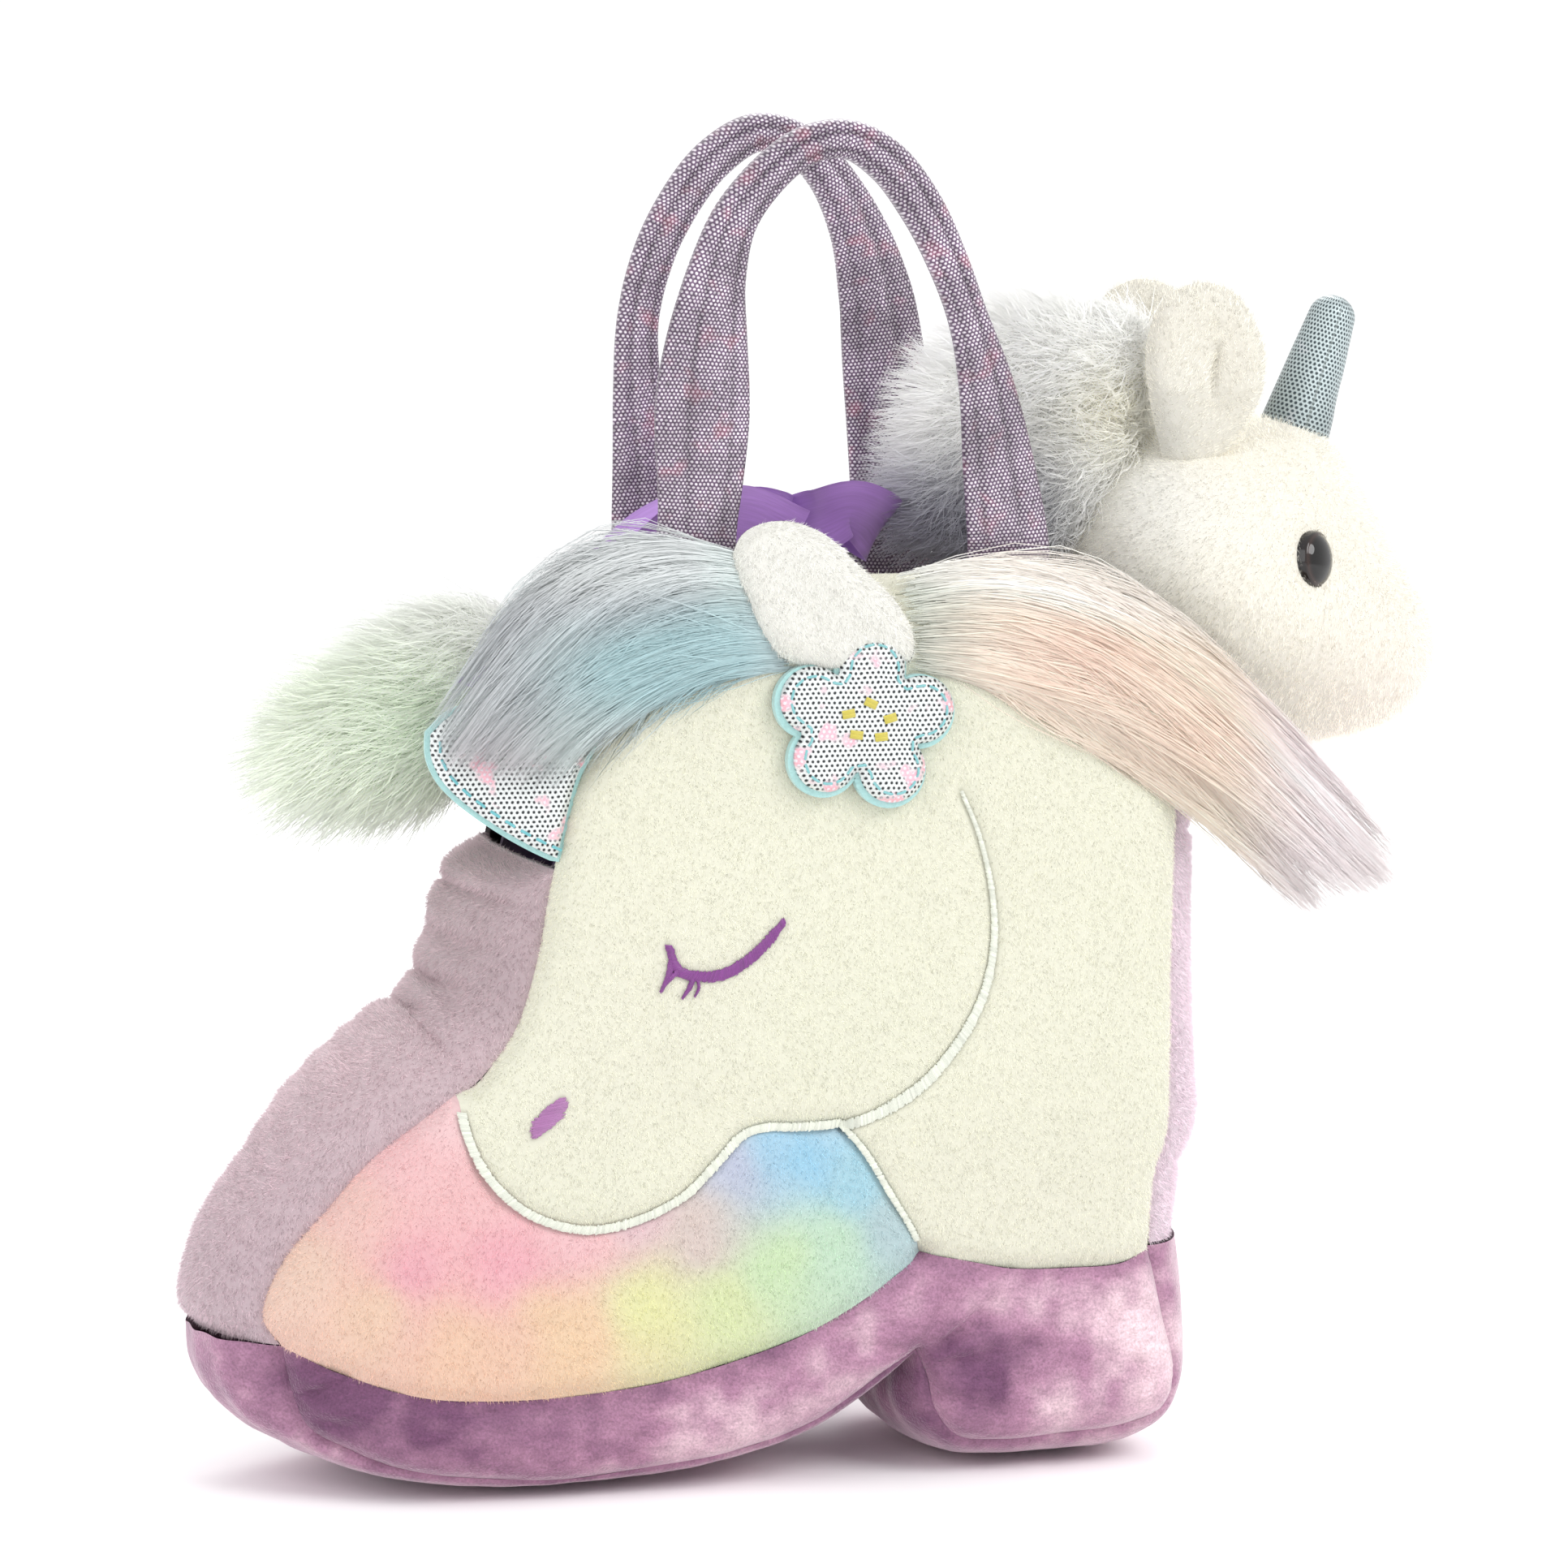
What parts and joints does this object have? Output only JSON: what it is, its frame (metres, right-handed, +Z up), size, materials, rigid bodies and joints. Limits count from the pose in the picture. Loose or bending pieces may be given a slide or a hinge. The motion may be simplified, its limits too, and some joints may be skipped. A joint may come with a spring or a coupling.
{
  "type": "plush unicorn in carrier purse",
  "caption": "Soft plush unicorn with a horn, shaggy mane and ribbon bow, sitting in a stuffed boot-shaped purse with two loop handles and a sleeping face on its front.",
  "frame": {"origin": "centre of the overall bounding box at floor level, under the boot's sole", "axes": "+X from the boot's toe towards its heel, +Z up, -Y out of the decorated front"},
  "size_m": [0.1986, 0.0602, 0.2039],
  "materials": {
    "cream_minky": "short cream plush",
    "tie_dye_minky": "short plush dyed pink, yellow, blue and green",
    "crushed_velvet": "crushed mauve velvet",
    "lilac_minky": "short lilac-grey plush",
    "elastic": "woven elastic",
    "purple_satin": "satin",
    "fibre_fill": "loose polyester fibre",
    "silver_thread": "satin stitch",
    "purple_thread": "satin stitch",
    "teal_felt": "felt",
    "foil_cloth": "silver foil-dot cloth",
    "purple_foil_cloth": "purple cloth with silver foil dots",
    "yellow_thread": "thread knots",
    "mane_pile": "long combed pile",
    "white_plush": "short white plush",
    "shaggy_pile": "long shaggy pile",
    "bean_bag_cloth": "cotton bag of plastic beads",
    "satin_ribbon": "satin ribbon",
    "eye_plastic": "polished",
    "washer_plastic": "moulded"
  },
  "bodies": {
    "bag": {"front_face_panel": "cream_minky", "front_vamp_panel": "tie_dye_minky", "front_sole_band": "crushed_velvet", "back_shaft_panel": "lilac_minky", "back_vamp_panel": "tie_dye_minky", "back_sole_band": "crushed_velvet", "instep_gusset": "lilac_minky", "heel_gusset": "lilac_minky", "instep_elastic": "elastic", "outsole": "crushed_velvet", "lining_pouch": "purple_satin", "toe_stuffing": "fibre_fill", "heel_stuffing": "fibre_fill", "face_outline_stitching": "silver_thread", "sleeping_eye_stitching": "purple_thread", "nostril_stitching": "purple_thread", "face_horn_felt": "teal_felt", "face_horn_cloth": "foil_cloth", "face_ear_base": "cream_minky", "flower_felt": "teal_felt", "flower_cloth": "foil_cloth", "flower_knots": "yellow_thread", "mane_backing": "mane_pile", "mane_left_lock": "mane_pile", "mane_right_lock": "mane_pile", "front_handle_tabs": "purple_foil_cloth", "back_handle_tabs": "purple_foil_cloth"},
    "front_handle": {"front_handle_strap": "purple_foil_cloth", "front_handle_padding": "fibre_fill"},
    "back_handle": {"back_handle_strap": "purple_foil_cloth", "back_handle_padding": "fibre_fill"},
    "face_ear": {"face_ear_flap": "cream_minky"},
    "unicorn": {"unicorn_body_left_skin": "white_plush", "unicorn_body_right_skin": "white_plush", "unicorn_body_stuffing": "fibre_fill", "bean_bag": "bean_bag_cloth", "unicorn_left_foreleg": "white_plush", "unicorn_right_foreleg": "white_plush", "unicorn_left_hindleg": "white_plush", "unicorn_right_hindleg": "white_plush", "unicorn_neck_mane": "shaggy_pile", "ribbon_band": "satin_ribbon", "bow_knot": "satin_ribbon", "bow_left_loop": "satin_ribbon", "bow_right_loop": "satin_ribbon", "bow_left_tail": "satin_ribbon", "bow_right_tail": "satin_ribbon"},
    "unicorn_tail_body": {"unicorn_tail": "shaggy_pile"},
    "unicorn_head": {"unicorn_head_left_skin": "white_plush", "unicorn_head_right_skin": "white_plush", "unicorn_head_stuffing": "fibre_fill", "unicorn_left_ear": "white_plush", "unicorn_right_ear": "white_plush", "unicorn_horn_cloth": "foil_cloth", "unicorn_horn_stuffing": "fibre_fill", "unicorn_left_eye": "eye_plastic", "unicorn_right_eye": "eye_plastic", "eye_washers": "washer_plastic"}
  },
  "joints": [
    {"name": "front_handle_fold", "type": "hinge", "parent": "bag", "child": "front_handle", "pos_m": [-0.00211, -0.0206, 0.1386], "axis": [1, 0, 0], "range_deg": [-10, 95]},
    {"name": "back_handle_fold", "type": "hinge", "parent": "bag", "child": "back_handle", "pos_m": [-0.00211, 0.0262, 0.1386], "axis": [-1, 0, 0], "range_deg": [-10, 95]},
    {"name": "face_ear_fold", "type": "hinge", "parent": "bag", "child": "face_ear", "pos_m": [-0.00211, -0.02605, 0.1296], "axis": [1, 0, 0], "range_deg": [0, 35], "stiffness_Nm_per_rad": 0.004},
    {"name": "unicorn_lift", "type": "slide", "parent": "bag", "child": "unicorn", "axis": [0, 0, 1], "range_m": [0, 0.175]},
    {"name": "tail_flop", "type": "hinge", "parent": "unicorn", "child": "unicorn_tail_body", "pos_m": [-0.04011, 0.0028, 0.1194], "axis": [0, 1, 0], "range_deg": [-4, 18], "stiffness_Nm_per_rad": 0.06},
    {"name": "head_turn", "type": "hinge", "parent": "unicorn", "child": "unicorn_head", "pos_m": [0.05989, 0.0028, 0.1334], "axis": [0.6691, 0, 0.7431], "range_deg": [-12, 12], "stiffness_Nm_per_rad": 0.12}
  ]
}
